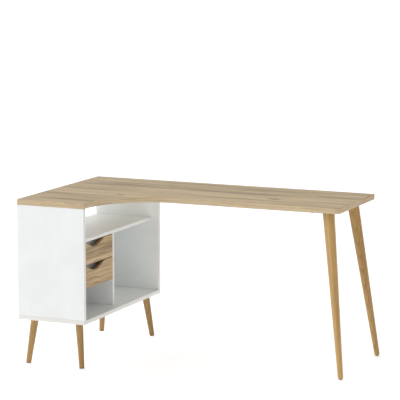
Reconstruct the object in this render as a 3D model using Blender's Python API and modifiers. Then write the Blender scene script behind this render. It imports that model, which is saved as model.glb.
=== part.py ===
"""Corner desk: an L-shaped top on a low cabinet with two drawers and on two long splayed legs.

Metres, +Z up, +X along the wing away from the cabinet, +Y to the back.
The origin is on the floor, at the middle of the footprint.
"""
import bpy
import bmesh
from math import asin, cos, pi, sin
from mathutils import Matrix, Vector

# ---- driving dimensions ---------------------------------------------------------------------
DESK_LENGTH = 1.420
DESK_WIDTH = 0.800
DESK_HEIGHT = 0.760
TOP_THICKNESS = 0.025
WING_DEPTH = 0.479
INNER_CURVE_RADIUS = 0.303
OUTER_CORNER_RADIUS = 0.028

CABINET_DEPTH = 0.336
CABINET_UNDERSIDE = 0.209
BOARD = 0.018
INNER_BOARD = 0.015
BACK_BOARD = 0.003
SHELF_TOP = 0.582
FRONT_RECESS = 0.040
BACK_RECESS = 0.008
DIVIDER_FROM_BACK = 0.419
BOARD_EDGE_ROUNDING = 0.0005

CABINET_LEG_TOP_INSET = 0.055
CABINET_LEG_FOOT_INSET = 0.031
CABINET_LEG_TOP_RADIUS = 0.018
CABINET_LEG_FOOT_RADIUS = 0.012
CABINET_LEG_FOOT_ROUNDING = 0.0015

WING_LEG_TOP_END_INSET = 0.076
WING_LEG_TOP_SIDE_INSET = 0.081
WING_LEG_END_OVERHANG = 0.0195
WING_LEG_SIDE_OVERHANG = 0.008
WING_LEG_TOP_RADIUS = 0.0265
WING_LEG_FOOT_RADIUS = 0.0122
WING_LEG_TOP_DROP = 0.0095

GLIDE_THICKNESS = 0.0025
GLIDE_RADIUS = 0.0115
BALL_GLIDE_HEIGHT = 0.005

PLATE_SIZE = 0.100
PLATE_THICKNESS = 0.0025
PLATE_CORNER_RADIUS = 0.010
PLATE_BOSS_RADIUS = 0.022
PLATE_BOSS_LENGTH = 0.030
PLATE_INSET_FROM_LEG = 0.014
PLATE_SCREW_SPACING = 0.084
SCREW_RADIUS = 0.0021
SCREW_HEAD_RADIUS = 0.0045
SCREW_HEAD_FLAT_RADIUS = 0.0025
SCREW_HEAD_HEIGHT = 0.0026
SCREW_LENGTH = 0.014

BOLT_RADIUS = 0.004
BOLT_IN_LEG = 0.028
BOLT_IN_CABINET = 0.011
BOLT_IN_PLATE = 0.006
DOWEL_RADIUS = 0.004
DOWEL_IN_TOP = 0.012
DOWEL_IN_PANEL = 0.020
DOWEL_INSET = 0.060

DRAWER_GAP = 0.003
DRAWER_SIDE_GAP = 0.002
FRONT_HEIGHT = 0.1035
FRONT_THICKNESS = 0.016
BOX_DEPTH = 0.262
BOX_HEIGHT = 0.078
BOX_LIFT = 0.010
BOX_BOARD = 0.012
BOX_BOTTOM = 0.003
BOX_BOTTOM_LIFT = 0.008
GROOVE_DEPTH = 0.005
FINGER_SPACE = 0.026
RUNNER_SPACE = 0.0125
RUNNER_LENGTH = 0.260
RUNNER_HEIGHT = 0.035
RUNNER_STEEL = 0.0012
RUNNER_LIP = 0.007
RUNNER_LIFT = 0.020
RUNNER_SETBACK = 0.004
SLIDER_HEIGHT = 0.024
SLIDER_REACH = 0.0085
SLIDER_HEAD = 0.003
SLIDER_NECK = 0.008

GRIP_WIDTH = 0.220
GRIP_DEPTH = 0.0285
GRIP_FLAT = 0.014

CLEARANCE = 0.0003
CURVE_STEPS = 24
CORNER_STEPS = 8
GRIP_STEPS = 12
BALL_STEPS = 5
CUT_OVERRUN = 0.010
CUT_REACH = 0.060

# ---- places worked out from them ------------------------------------------------------------
LEFT = -(DESK_LENGTH + WING_LEG_END_OVERHANG + WING_LEG_FOOT_RADIUS) / 2
RIGHT = LEFT + DESK_LENGTH
BACK = (DESK_WIDTH - WING_LEG_SIDE_OVERHANG - WING_LEG_FOOT_RADIUS) / 2
NEAR = BACK - DESK_WIDTH
WING_FRONT = BACK - WING_DEPTH
TOP_UNDERSIDE = DESK_HEIGHT - TOP_THICKNESS
CABINET_FRONT = LEFT + CABINET_DEPTH
PANEL_TOP = TOP_UNDERSIDE - CLEARANCE
FLOOR_BOARD_TOP = CABINET_UNDERSIDE + BOARD
INNER_NEAR = NEAR + BOARD
INNER_FAR = BACK - BOARD
INNER_FRONT = CABINET_FRONT - FRONT_RECESS
INNER_BACK = LEFT + BACK_RECESS + BACK_BOARD + CLEARANCE
SHELF_UNDERSIDE = SHELF_TOP - INNER_BOARD
DIVIDER_FAR = BACK - DIVIDER_FROM_BACK
DIVIDER_NEAR = DIVIDER_FAR - INNER_BOARD
DRAWER_MIDDLE = (INNER_NEAR + DIVIDER_NEAR) / 2

# ---- colours --------------------------------------------------------------------------------
OAK = (0.45, 0.34, 0.22)
WHITE = (0.87, 0.87, 0.86)
LEG_WOOD = (0.46, 0.29, 0.12)
GREY_FOIL = (0.64, 0.65, 0.64)
STEEL = (0.55, 0.55, 0.55)
BEECH = (0.60, 0.42, 0.26)
NYLON = (0.20, 0.18, 0.16)

# ---- collections ----------------------------------------------------------------------------
for old in list(bpy.data.objects):
    bpy.data.objects.remove(old, do_unlink=True)

DESK = bpy.data.collections.new("corner_desk")
CUTTERS = bpy.data.collections.new("cutters")
bpy.context.scene.collection.children.link(DESK)
bpy.context.scene.collection.children.link(CUTTERS)


def material(name, colour, roughness, metallic=0.0):
    """A Principled material in one colour."""
    made = bpy.data.materials.new(name)
    made.use_nodes = True
    shader = made.node_tree.nodes["Principled BSDF"]
    shader.inputs["Base Color"].default_value = (*colour, 1.0)
    shader.inputs["Roughness"].default_value = roughness
    shader.inputs["Metallic"].default_value = metallic
    return made


OAK_MELAMINE = material("oak_melamine", OAK, 0.45)
WHITE_MELAMINE = material("white_melamine", WHITE, 0.40)
LACQUERED_WOOD = material("lacquered_leg_wood", LEG_WOOD, 0.40)
LIGHT_FOIL = material("light_grey_foil", GREY_FOIL, 0.55)
ZINC_STEEL = material("zinc_plated_steel", STEEL, 0.35, 1.0)
RAW_BEECH = material("raw_beech", BEECH, 0.70)
GLIDE_NYLON = material("glide_nylon", NYLON, 0.50)


def new_object(name, mesh, finish=None, collection=DESK):
    """Link a mesh as an object, with its finish."""
    made = bpy.data.objects.new(name, mesh)
    collection.objects.link(made)
    if finish is not None:
        mesh.materials.append(finish)
    if collection is CUTTERS:
        made.hide_render = True
        made.display_type = "WIRE"
    return made


def box(name, low, high, finish=None, rounding=0.0, collection=DESK):
    """A rectangular board between two corners, its edges lightly rounded."""
    size = Vector(high) - Vector(low)
    shape = bmesh.new()
    bmesh.ops.create_cube(shape, size=1.0)
    bmesh.ops.scale(shape, vec=size, verts=shape.verts)
    mesh = bpy.data.meshes.new(name)
    shape.to_mesh(mesh)
    shape.free()
    made = new_object(name, mesh, finish, collection)
    made.location = (Vector(high) + Vector(low)) / 2
    if rounding > 0.0:
        bevel = made.modifiers.new("edge_rounding", "BEVEL")
        bevel.width = rounding
        bevel.segments = 1
    return made


def cylinder(name, radius, length, matrix, sides=16, finish=None, collection=CUTTERS):
    """A cylinder whose base is at the matrix's origin and which runs along its local +Z."""
    shape = bmesh.new()
    bmesh.ops.create_cone(shape, cap_ends=True, segments=sides, radius1=radius, radius2=radius,
                          depth=length)
    bmesh.ops.translate(shape, vec=(0.0, 0.0, length / 2), verts=shape.verts)
    mesh = bpy.data.meshes.new(name)
    shape.to_mesh(mesh)
    shape.free()
    made = new_object(name, mesh, finish, collection)
    made.matrix_world = matrix
    return made


def boolean(target, cutter, operation="DIFFERENCE"):
    """Cut one object out of another, or join them, with the exact solver."""
    step = target.modifiers.new(cutter.name, "BOOLEAN")
    step.operation = operation
    step.solver = "EXACT"
    step.object = cutter


def board_from_outline(name, points, thickness, matrix, finish):
    """A flat board with a curved outline, made as a filled curve and turned into a mesh."""
    curve = bpy.data.curves.new(name + "_outline", "CURVE")
    curve.dimensions = "2D"
    curve.fill_mode = "BOTH"
    curve.extrude = thickness / 2
    spline = curve.splines.new("POLY")
    spline.points.add(len(points) - 1)
    for slot, (x, y) in zip(spline.points, points):
        slot.co = (x, y, 0.0, 1.0)
    spline.use_cyclic_u = True
    outline = bpy.data.objects.new(name + "_outline", curve)
    bpy.context.scene.collection.objects.link(outline)
    outline.matrix_world = matrix
    bpy.context.view_layer.update()
    evaluated = outline.evaluated_get(bpy.context.evaluated_depsgraph_get())
    mesh = bpy.data.meshes.new_from_object(evaluated)
    mesh.name = name
    shape = bmesh.new()
    shape.from_mesh(mesh)
    bmesh.ops.remove_doubles(shape, verts=shape.verts, dist=0.00001)
    shape.to_mesh(mesh)
    shape.free()
    mesh.materials.clear()
    made = new_object(name, mesh, finish)
    made.matrix_world = outline.matrix_world
    bpy.data.objects.remove(outline, do_unlink=True)
    return made


def turned(name, profile, matrix, finish, steps=32):
    """A turned piece: a profile of (radius, height) from top to bottom, spun round local Z."""
    shape = bmesh.new()
    ring = [shape.verts.new((radius, 0.0, height)) for radius, height in profile]
    for first, second in zip(ring, ring[1:]):
        shape.edges.new((first, second))
    mesh = bpy.data.meshes.new(name)
    shape.to_mesh(mesh)
    shape.free()
    made = new_object(name, mesh, finish)
    spin = made.modifiers.new("turn", "SCREW")
    spin.steps = steps
    spin.render_steps = steps
    spin.use_merge_vertices = True
    spin.merge_threshold = 0.00001
    spin.use_smooth_shade = True
    made.matrix_world = matrix
    return made


def arc(centre_x, centre_y, radius, start, end, steps):
    """Points on an arc from one angle to another, both ends included."""
    angles = [start + (end - start) * step / steps for step in range(steps + 1)]
    return [(centre_x + radius * cos(angle), centre_y + radius * sin(angle)) for angle in angles]


def along(origin, direction):
    """A matrix at a point, whose local +Z follows a direction."""
    turn = Vector(direction).to_track_quat("Z", "Y").to_matrix().to_4x4()
    return Matrix.Translation(origin) @ turn


# ---- desktop --------------------------------------------------------------------------------
curve_x = CABINET_FRONT + INNER_CURVE_RADIUS
curve_y = WING_FRONT - INNER_CURVE_RADIUS
corner_x = RIGHT - OUTER_CORNER_RADIUS
corner_y = WING_FRONT + OUTER_CORNER_RADIUS
top_outline = [(LEFT, BACK), (LEFT, NEAR), (CABINET_FRONT, NEAR)]
top_outline += arc(curve_x, curve_y, INNER_CURVE_RADIUS, pi, pi / 2, CURVE_STEPS)
top_outline += arc(corner_x, corner_y, OUTER_CORNER_RADIUS, -pi / 2, 0.0, CORNER_STEPS)
top_outline += [(RIGHT, BACK)]
top_middle = Matrix.Translation((0.0, 0.0, DESK_HEIGHT - TOP_THICKNESS / 2))
desktop = board_from_outline("desktop", top_outline, TOP_THICKNESS, top_middle, OAK_MELAMINE)

# ---- cabinet boards -------------------------------------------------------------------------
panel_foot = FLOOR_BOARD_TOP + CLEARANCE
near_side_panel = box("near_side_panel", (LEFT, NEAR, panel_foot),
                      (CABINET_FRONT, INNER_NEAR, PANEL_TOP), WHITE_MELAMINE, BOARD_EDGE_ROUNDING)
far_side_panel = box("far_side_panel", (LEFT, INNER_FAR, panel_foot),
                     (CABINET_FRONT, BACK, PANEL_TOP), WHITE_MELAMINE, BOARD_EDGE_ROUNDING)
bottom_panel = box("bottom_panel", (LEFT, NEAR, CABINET_UNDERSIDE),
                   (CABINET_FRONT, BACK, FLOOR_BOARD_TOP), WHITE_MELAMINE, BOARD_EDGE_ROUNDING)
fixed_shelf = box("fixed_shelf", (LEFT + BACK_RECESS, INNER_NEAR + CLEARANCE, SHELF_UNDERSIDE),
                  (INNER_FRONT, INNER_FAR - CLEARANCE, SHELF_TOP), WHITE_MELAMINE,
                  BOARD_EDGE_ROUNDING)
divider = box("divider", (INNER_BACK, DIVIDER_NEAR, panel_foot),
              (INNER_FRONT, DIVIDER_FAR, SHELF_UNDERSIDE - CLEARANCE), WHITE_MELAMINE,
              BOARD_EDGE_ROUNDING)
back_panel = box("back_panel", (LEFT + BACK_RECESS, INNER_NEAR + CLEARANCE, panel_foot),
                 (LEFT + BACK_RECESS + BACK_BOARD, INNER_FAR - CLEARANCE,
                  SHELF_UNDERSIDE - CLEARANCE), WHITE_MELAMINE)

# ---- dowels between the side panels and the desktop -----------------------------------------
for panel, panel_middle in ((near_side_panel, NEAR + BOARD / 2), (far_side_panel, BACK - BOARD / 2)):
    for end, dowel_x in (("back", LEFT + DOWEL_INSET), ("front", CABINET_FRONT - DOWEL_INSET)):
        side = panel.name.split("_")[0]
        foot = Vector((dowel_x, panel_middle, TOP_UNDERSIDE - DOWEL_IN_PANEL))
        length = DOWEL_IN_PANEL + DOWEL_IN_TOP
        hole_place = along(foot - Vector((0.0, 0.0, CLEARANCE)), (0.0, 0.0, 1.0))
        hole = cylinder(f"{side}_{end}_dowel_hole", DOWEL_RADIUS + CLEARANCE,
                        length + 2 * CLEARANCE, hole_place)
        boolean(panel, hole)
        boolean(desktop, hole)
        cylinder(f"{side}_{end}_dowel", DOWEL_RADIUS, length, along(foot, (0.0, 0.0, 1.0)),
                 finish=RAW_BEECH, collection=DESK)


# ---- short legs under the cabinet -----------------------------------------------------------
def cabinet_leg(name, top_point, foot_point):
    """A splayed tapered leg, cut level at the top, with its hanger bolt and its glide."""
    axis = (top_point - foot_point).normalized()
    tilt = axis.angle(Vector((0.0, 0.0, 1.0)))
    start = foot_point + axis * (GLIDE_RADIUS * sin(tilt) / cos(tilt))
    leg_start = GLIDE_THICKNESS + CLEARANCE
    reach = (top_point.z - start.z) / cos(tilt)
    overrun = CABINET_LEG_TOP_RADIUS
    taper = (CABINET_LEG_TOP_RADIUS - CABINET_LEG_FOOT_RADIUS) / (reach - leg_start)
    place = along(start, axis)
    profile = [(0.0, reach + overrun),
               (CABINET_LEG_TOP_RADIUS + taper * overrun, reach + overrun),
               (CABINET_LEG_FOOT_RADIUS, leg_start + CABINET_LEG_FOOT_ROUNDING),
               (CABINET_LEG_FOOT_RADIUS - CABINET_LEG_FOOT_ROUNDING, leg_start),
               (0.0, leg_start)]
    leg = turned(name, profile, place, LACQUERED_WOOD)
    saw = box(name + "_level_cut", top_point - Vector((CUT_REACH, CUT_REACH, 0.0)),
              top_point + Vector((CUT_REACH, CUT_REACH, CUT_REACH)), collection=CUTTERS)
    boolean(leg, saw)
    bolt_start = start + axis * (reach - BOLT_IN_LEG)
    bolt_length = BOLT_IN_LEG + BOLT_IN_CABINET
    hole = cylinder(name + "_bolt_hole", BOLT_RADIUS + CLEARANCE, bolt_length + 2 * CLEARANCE,
                    along(bolt_start - axis * CLEARANCE, axis))
    boolean(leg, hole)
    boolean(bottom_panel, hole)
    cylinder(name + "_bolt", BOLT_RADIUS, bolt_length, along(bolt_start, axis),
             finish=ZINC_STEEL, collection=DESK)
    disc = [(0.0, GLIDE_THICKNESS), (GLIDE_RADIUS, GLIDE_THICKNESS), (GLIDE_RADIUS, 0.0),
            (0.0, 0.0)]
    turned(name + "_glide", disc, place, GLIDE_NYLON, steps=24)


for row, y_edge, y_inward in (("near", NEAR, 1.0), ("far", BACK, -1.0)):
    for end, x_edge, x_inward in (("back", LEFT, 1.0), ("front", CABINET_FRONT, -1.0)):
        inward = Vector((x_inward, y_inward, 0.0))
        corner = Vector((x_edge, y_edge, 0.0))
        foot_point = corner + inward * CABINET_LEG_FOOT_INSET
        top_point = corner + inward * CABINET_LEG_TOP_INSET
        top_point.z = CABINET_UNDERSIDE - CLEARANCE
        cabinet_leg(f"{row}_{end}_leg", top_point, foot_point)


# ---- long legs under the wing ---------------------------------------------------------------
def wing_leg(name, edge_y, outward):
    """A long splayed leg on an angled steel plate, with its bolt, its screws and its glide."""
    foot_y = edge_y + outward * WING_LEG_SIDE_OVERHANG
    ball = Vector((RIGHT + WING_LEG_END_OVERHANG, foot_y, WING_LEG_FOOT_RADIUS))
    anchor_x = RIGHT - WING_LEG_TOP_END_INSET
    anchor_y = edge_y - outward * WING_LEG_TOP_SIDE_INSET
    anchor = Vector((anchor_x, anchor_y, TOP_UNDERSIDE - WING_LEG_TOP_DROP))
    axis = (anchor - ball).normalized()
    reach = (anchor - ball).length
    place = along(ball, axis)

    wood_drop = WING_LEG_FOOT_RADIUS - BALL_GLIDE_HEIGHT
    wood_end = ball_end(0.0, wood_drop)
    leg = turned(name, [(0.0, reach), (WING_LEG_TOP_RADIUS, reach)] + wood_end
                 + [(0.0, -wood_drop)], place, LACQUERED_WOOD)
    cap_drop = wood_drop + CLEARANCE
    turned(name + "_glide", [(0.0, -cap_drop)] + ball_end(cap_drop, WING_LEG_FOOT_RADIUS),
           place, GLIDE_NYLON, steps=24)

    plate_middle = anchor + Vector((-PLATE_INSET_FROM_LEG, outward * PLATE_INSET_FROM_LEG, 0.0))
    plate_middle.z = TOP_UNDERSIDE - CLEARANCE - PLATE_THICKNESS / 2
    plate = board_from_outline(name + "_plate", rounded_square(), PLATE_THICKNESS,
                               Matrix.Translation(plate_middle), ZINC_STEEL)
    boss_start = anchor + axis * CLEARANCE
    boss = cylinder(name + "_boss", PLATE_BOSS_RADIUS, PLATE_BOSS_LENGTH,
                    along(boss_start, axis), sides=24)
    boolean(plate, boss, "UNION")
    flush = box(name + "_flush_cut",
                plate_middle + Vector((-PLATE_SIZE, -PLATE_SIZE, PLATE_THICKNESS / 2)),
                plate_middle + Vector((PLATE_SIZE, PLATE_SIZE, CUT_REACH)), collection=CUTTERS)
    boolean(plate, flush)

    bolt_start = anchor - axis * BOLT_IN_LEG
    bolt_length = BOLT_IN_LEG + BOLT_IN_PLATE
    hole = cylinder(name + "_bolt_hole", BOLT_RADIUS + CLEARANCE, bolt_length + 2 * CLEARANCE,
                    along(bolt_start - axis * CLEARANCE, axis))
    boolean(leg, hole)
    boolean(plate, hole)
    cylinder(name + "_bolt", BOLT_RADIUS, bolt_length, along(bolt_start, axis),
             finish=ZINC_STEEL, collection=DESK)

    half = PLATE_SCREW_SPACING / 2
    for number, (side_x, side_y) in enumerate(((-1, -1), (1, -1), (1, 1), (-1, 1)), start=1):
        middle = plate_middle + Vector((side_x * half, side_y * half, 0.0))
        plate_screw(f"{name}_screw_{number}", middle, plate)


def ball_end(first_drop, last_drop):
    """The long leg's ball-shaped foot between two distances below the ball's middle."""
    start = -asin(first_drop / WING_LEG_FOOT_RADIUS)
    end = -asin(last_drop / WING_LEG_FOOT_RADIUS)
    points = arc(0.0, 0.0, WING_LEG_FOOT_RADIUS, start, end, BALL_STEPS)
    return points[:-1] + [(round(points[-1][0], 9), -last_drop)]


def rounded_square():
    """The outline of a leg plate, a square with rounded corners."""
    reach = PLATE_SIZE / 2 - PLATE_CORNER_RADIUS
    points = []
    for quarter, (side_x, side_y) in enumerate(((1, 1), (-1, 1), (-1, -1), (1, -1))):
        start = quarter * pi / 2
        points += arc(side_x * reach, side_y * reach, PLATE_CORNER_RADIUS, start, start + pi / 2, 4)
    return points


def plate_screw(name, middle, plate):
    """A pan-head screw up through a plate corner into the desktop."""
    head_top = middle.z - PLATE_THICKNESS / 2 - CLEARANCE
    foot = Vector((middle.x, middle.y, head_top - SCREW_HEAD_HEIGHT))
    shank_top = SCREW_HEAD_HEIGHT + SCREW_LENGTH
    profile = [(0.0, shank_top), (SCREW_RADIUS, shank_top), (SCREW_RADIUS, SCREW_HEAD_HEIGHT),
               (SCREW_HEAD_RADIUS, SCREW_HEAD_HEIGHT),
               (SCREW_HEAD_RADIUS, SCREW_HEAD_HEIGHT / 2), (SCREW_HEAD_FLAT_RADIUS, 0.0),
               (0.0, 0.0)]
    turned(name, profile, along(foot, (0.0, 0.0, 1.0)), ZINC_STEEL, steps=16)
    hole = cylinder(name + "_hole", SCREW_RADIUS + CLEARANCE, shank_top,
                    along(foot + Vector((0.0, 0.0, CLEARANCE)), (0.0, 0.0, 1.0)))
    boolean(plate, hole)
    boolean(desktop, hole)


wing_leg("wing_front_leg", WING_FRONT, -1.0)
wing_leg("wing_back_leg", BACK, 1.0)


# ---- drawers --------------------------------------------------------------------------------
def front_outline(half_width, height):
    """A drawer front seen from the front, with the finger cut-out in its top edge."""
    flank = (GRIP_WIDTH - GRIP_FLAT) / 2
    left = []
    for step in range(GRIP_STEPS + 1):
        share = step / GRIP_STEPS
        drop = GRIP_DEPTH * (1.0 - cos(pi * share)) / 2
        left.append((flank * share - GRIP_WIDTH / 2, height - drop))
    right = [(-x, y) for x, y in reversed(left)]
    corners = [(-half_width, height), (-half_width, 0.0), (half_width, 0.0), (half_width, height)]
    return corners + list(reversed(left + right))


def drawer(name, bottom):
    """A front, a box of five boards with a finger space before it, and its runner members."""
    slide = bpy.data.objects.new(name + "_slide", None)
    DESK.objects.link(slide)
    slide.location = (INNER_FRONT, DRAWER_MIDDLE, bottom)
    bpy.context.view_layer.update()

    compartment = DIVIDER_NEAR - INNER_NEAR
    front_half = compartment / 2 - DRAWER_SIDE_GAP
    front_middle = Vector((INNER_FRONT - FRONT_THICKNESS / 2, DRAWER_MIDDLE, bottom))
    upright = Matrix(((0.0, 0.0, 1.0, 0.0), (1.0, 0.0, 0.0, 0.0), (0.0, 1.0, 0.0, 0.0),
                      (0.0, 0.0, 0.0, 1.0)))
    front = board_from_outline(name + "_front", front_outline(front_half, FRONT_HEIGHT),
                               FRONT_THICKNESS, Matrix.Translation(front_middle) @ upright,
                               OAK_MELAMINE)
    keep_under(front, slide)

    outer = compartment / 2 - RUNNER_SPACE
    inner = outer - BOX_BOARD
    low = bottom + BOX_LIFT
    high = low + BOX_HEIGHT
    box_front = INNER_FRONT - FRONT_THICKNESS - CLEARANCE
    box_back = box_front - BOX_DEPTH
    back_front = box_back + BOX_BOARD

    back = box(name + "_back", (box_back, DRAWER_MIDDLE - inner + CLEARANCE, low),
               (back_front, DRAWER_MIDDLE + inner - CLEARANCE, high), LIGHT_FOIL,
               BOARD_EDGE_ROUNDING)
    groove_reach = inner + GROOVE_DEPTH
    panel_low = low + BOX_BOTTOM_LIFT
    groove = box(name + "_bottom_groove",
                 (back_front - GROOVE_DEPTH - CLEARANCE, DRAWER_MIDDLE - groove_reach, panel_low),
                 (box_front + CUT_OVERRUN, DRAWER_MIDDLE + groove_reach,
                  panel_low + BOX_BOTTOM + 2 * CLEARANCE), collection=CUTTERS)
    boolean(back, groove)
    keep_under(back, slide)
    for side, sign in (("near", -1.0), ("far", 1.0)):
        edges = sorted((DRAWER_MIDDLE + sign * outer, DRAWER_MIDDLE + sign * inner))
        side_board = box(f"{name}_{side}_side", (box_back, edges[0], low),
                         (box_front, edges[1], high), LIGHT_FOIL, BOARD_EDGE_ROUNDING)
        boolean(side_board, groove)
        keep_under(side_board, slide)
        runner_pair(name, side, sign, bottom + RUNNER_LIFT, slide)
    bottom_board = box(name + "_bottom",
                       (back_front - GROOVE_DEPTH,
                        DRAWER_MIDDLE - groove_reach + CLEARANCE, panel_low + CLEARANCE),
                       (box_front, DRAWER_MIDDLE + groove_reach - CLEARANCE,
                        panel_low + CLEARANCE + BOX_BOTTOM), LIGHT_FOIL)
    keep_under(bottom_board, slide)
    inner_front_face = box_front - FINGER_SPACE
    inner_front = box(name + "_inner_front",
                      (inner_front_face - BOX_BOARD, DRAWER_MIDDLE - inner + CLEARANCE,
                       panel_low + BOX_BOTTOM + 2 * CLEARANCE),
                      (inner_front_face, DRAWER_MIDDLE + inner - CLEARANCE, high), LIGHT_FOIL,
                      BOARD_EDGE_ROUNDING)
    keep_under(inner_front, slide)


def keep_under(piece, slide):
    """Hang a piece on its drawer's slide without moving it."""
    bpy.context.view_layer.update()
    place = piece.matrix_world.copy()
    piece.parent = slide
    piece.matrix_parent_inverse = slide.matrix_world.inverted()
    piece.matrix_world = place


def runner_pair(name, side, sign, low, slide):
    """A channel on the cabinet wall and the slider on the drawer side that runs inside it."""
    wall_y = DRAWER_MIDDLE + sign * ((DIVIDER_NEAR - INNER_NEAR) / 2 - CLEARANCE)
    drawer_y = DRAWER_MIDDLE + sign * ((DIVIDER_NEAR - INNER_NEAR) / 2 - RUNNER_SPACE + CLEARANCE)
    middle_x = INNER_FRONT - FRONT_THICKNESS - RUNNER_SETBACK - RUNNER_LENGTH / 2
    rail_place = Vector((middle_x, wall_y, low))
    runner_member(f"{name}_{side}_rail", rail_section(), rail_place, -sign)
    slider_place = Vector((middle_x, drawer_y, low + (RUNNER_HEIGHT - SLIDER_HEIGHT) / 2))
    slider = runner_member(f"{name}_{side}_slider", slider_section(), slider_place, sign)
    keep_under(slider, slide)


def rail_section():
    """A C-shaped section: web against the wall, two flanges, and two lips that hold the slider."""
    steel = RUNNER_STEEL
    high = RUNNER_HEIGHT
    depth = RUNNER_SPACE - 2 * CLEARANCE - RUNNER_STEEL
    return [(0.0, 0.0), (depth, 0.0), (depth, RUNNER_LIP), (depth - steel, RUNNER_LIP),
            (depth - steel, steel), (steel, steel), (steel, high - steel),
            (depth - steel, high - steel), (depth - steel, high - RUNNER_LIP),
            (depth, high - RUNNER_LIP), (depth, high), (0.0, high)]


def slider_section():
    """A T-shaped section: a neck on the drawer side, and a head held behind the rail's lips."""
    neck_low = (SLIDER_HEIGHT - SLIDER_NECK) / 2
    neck_high = neck_low + SLIDER_NECK
    shoulder = SLIDER_REACH - SLIDER_HEAD
    return [(0.0, neck_low), (shoulder, neck_low), (shoulder, 0.0), (SLIDER_REACH, 0.0),
            (SLIDER_REACH, SLIDER_HEIGHT), (shoulder, SLIDER_HEIGHT), (shoulder, neck_high),
            (0.0, neck_high)]


def runner_member(name, section, middle, facing):
    """A steel section in (out from its wall, up), which runs along X through a middle point."""
    across = Matrix(((0.0, 0.0, 1.0, 0.0), (facing, 0.0, 0.0, 0.0), (0.0, 1.0, 0.0, 0.0),
                     (0.0, 0.0, 0.0, 1.0)))
    return board_from_outline(name, section, RUNNER_LENGTH, Matrix.Translation(middle) @ across,
                              ZINC_STEEL)


upper_bottom = SHELF_UNDERSIDE - DRAWER_GAP - FRONT_HEIGHT
drawer("upper_drawer", upper_bottom)
drawer("lower_drawer", upper_bottom - DRAWER_GAP - FRONT_HEIGHT)
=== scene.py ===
"""Looks of the corner desk: boards with their edge bands, turned legs, drawers and small fittings.

Metres, +Z up, +X along the wing away from the cabinet, +Y to the back, origin on the floor.
After the camera and the studio, the sections follow the desk as it is put together: its top,
cabinet, legs, plates and screws, then its drawers, and last the runners, bolts and dowels.
"""

from math import asin, cos, pi, radians, sin, tan

import bmesh
import bpy
from mathutils import Matrix, Vector


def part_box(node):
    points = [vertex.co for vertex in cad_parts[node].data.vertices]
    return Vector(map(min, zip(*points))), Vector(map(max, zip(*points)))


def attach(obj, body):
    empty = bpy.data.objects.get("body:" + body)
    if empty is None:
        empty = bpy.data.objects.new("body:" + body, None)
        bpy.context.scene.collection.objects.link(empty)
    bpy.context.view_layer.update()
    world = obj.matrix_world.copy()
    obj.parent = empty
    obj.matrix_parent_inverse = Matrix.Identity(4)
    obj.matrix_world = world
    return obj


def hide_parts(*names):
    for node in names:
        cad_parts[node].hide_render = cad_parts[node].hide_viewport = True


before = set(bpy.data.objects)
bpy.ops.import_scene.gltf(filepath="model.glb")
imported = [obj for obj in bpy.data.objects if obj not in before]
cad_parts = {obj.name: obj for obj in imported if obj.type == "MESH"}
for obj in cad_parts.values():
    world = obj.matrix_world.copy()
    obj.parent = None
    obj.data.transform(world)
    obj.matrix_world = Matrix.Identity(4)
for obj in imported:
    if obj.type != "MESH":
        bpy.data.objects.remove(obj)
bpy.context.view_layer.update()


# ---- camera ---------------------------------------------------------------------------------
# A long lens on a tall stand, to the front right of the desk and tipped down a little. From
# there the cabinet shows its end and its drawers, and the wing runs to the right.
CAMERA_PLACE = (3.5350, -7.9576, 2.0853)
CAMERA_TURN = radians(23.993)
CAMERA_TIP = radians(8.762)
CAMERA_LENS_MM = 174.62
CAMERA_SENSOR_MM = 36.0
CAMERA_FAR_CLIP = 500.0

camera_data = bpy.data.cameras.new("camera")
camera_data.lens = CAMERA_LENS_MM
camera_data.sensor_width = CAMERA_SENSOR_MM
camera_data.clip_end = CAMERA_FAR_CLIP
camera = bpy.data.objects.new("camera", camera_data)
camera.location = CAMERA_PLACE
camera.rotation_euler = (pi / 2 - CAMERA_TIP, 0.0, CAMERA_TURN)
bpy.context.scene.collection.objects.link(camera)
bpy.context.scene.camera = camera


# ---- studio: light and floor ----------------------------------------------------------------
# A white studio: soft light from all round, strongest from the left, behind the cabinet, and
# weakest from the right, past the wing. The matte white floor glows evenly, so no shadow
# falls on it.
SKY_LEFT = 1.56
SKY_RIGHT = 0.27
SKY_BACK = 0.7
SKY_FRONT = 0.535
SKY_TOP = 0.33
FLOOR_WHITE = 0.90
FLOOR_GLOW = 0.39
FLOOR_REACH = 250.0
LIGHT_BOUNCES = 8
PLAIN_WHITE = "#ffffff"


def linear(hex_colour):
    """An sRGB hex colour as the linear colour that a shader takes."""
    parts = [int(hex_colour[start:start + 2], 16) / 255 for start in (1, 3, 5)]
    return (*[p / 12.92 if p <= 0.04045 else ((p + 0.055) / 1.055) ** 2.4 for p in parts], 1.0)


def add(tree, kind, inputs=None, stops=(), **settings):
    """Add one node with its settings, fill or link its inputs, and set a ramp's colour stops."""
    made = tree.nodes.new(kind)
    for name, value in settings.items():
        setattr(made, name, value)
    for key, value in (inputs or {}).items():
        if isinstance(value, bpy.types.NodeSocket):
            tree.links.new(value, made.inputs[key])
        else:
            made.inputs[key].default_value = value
    for index, (position, colour) in enumerate(stops):
        points = made.color_ramp.elements
        point = points[index] if index < 2 else points.new(position)
        point.position = position
        point.color = linear(colour)
    return made


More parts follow.
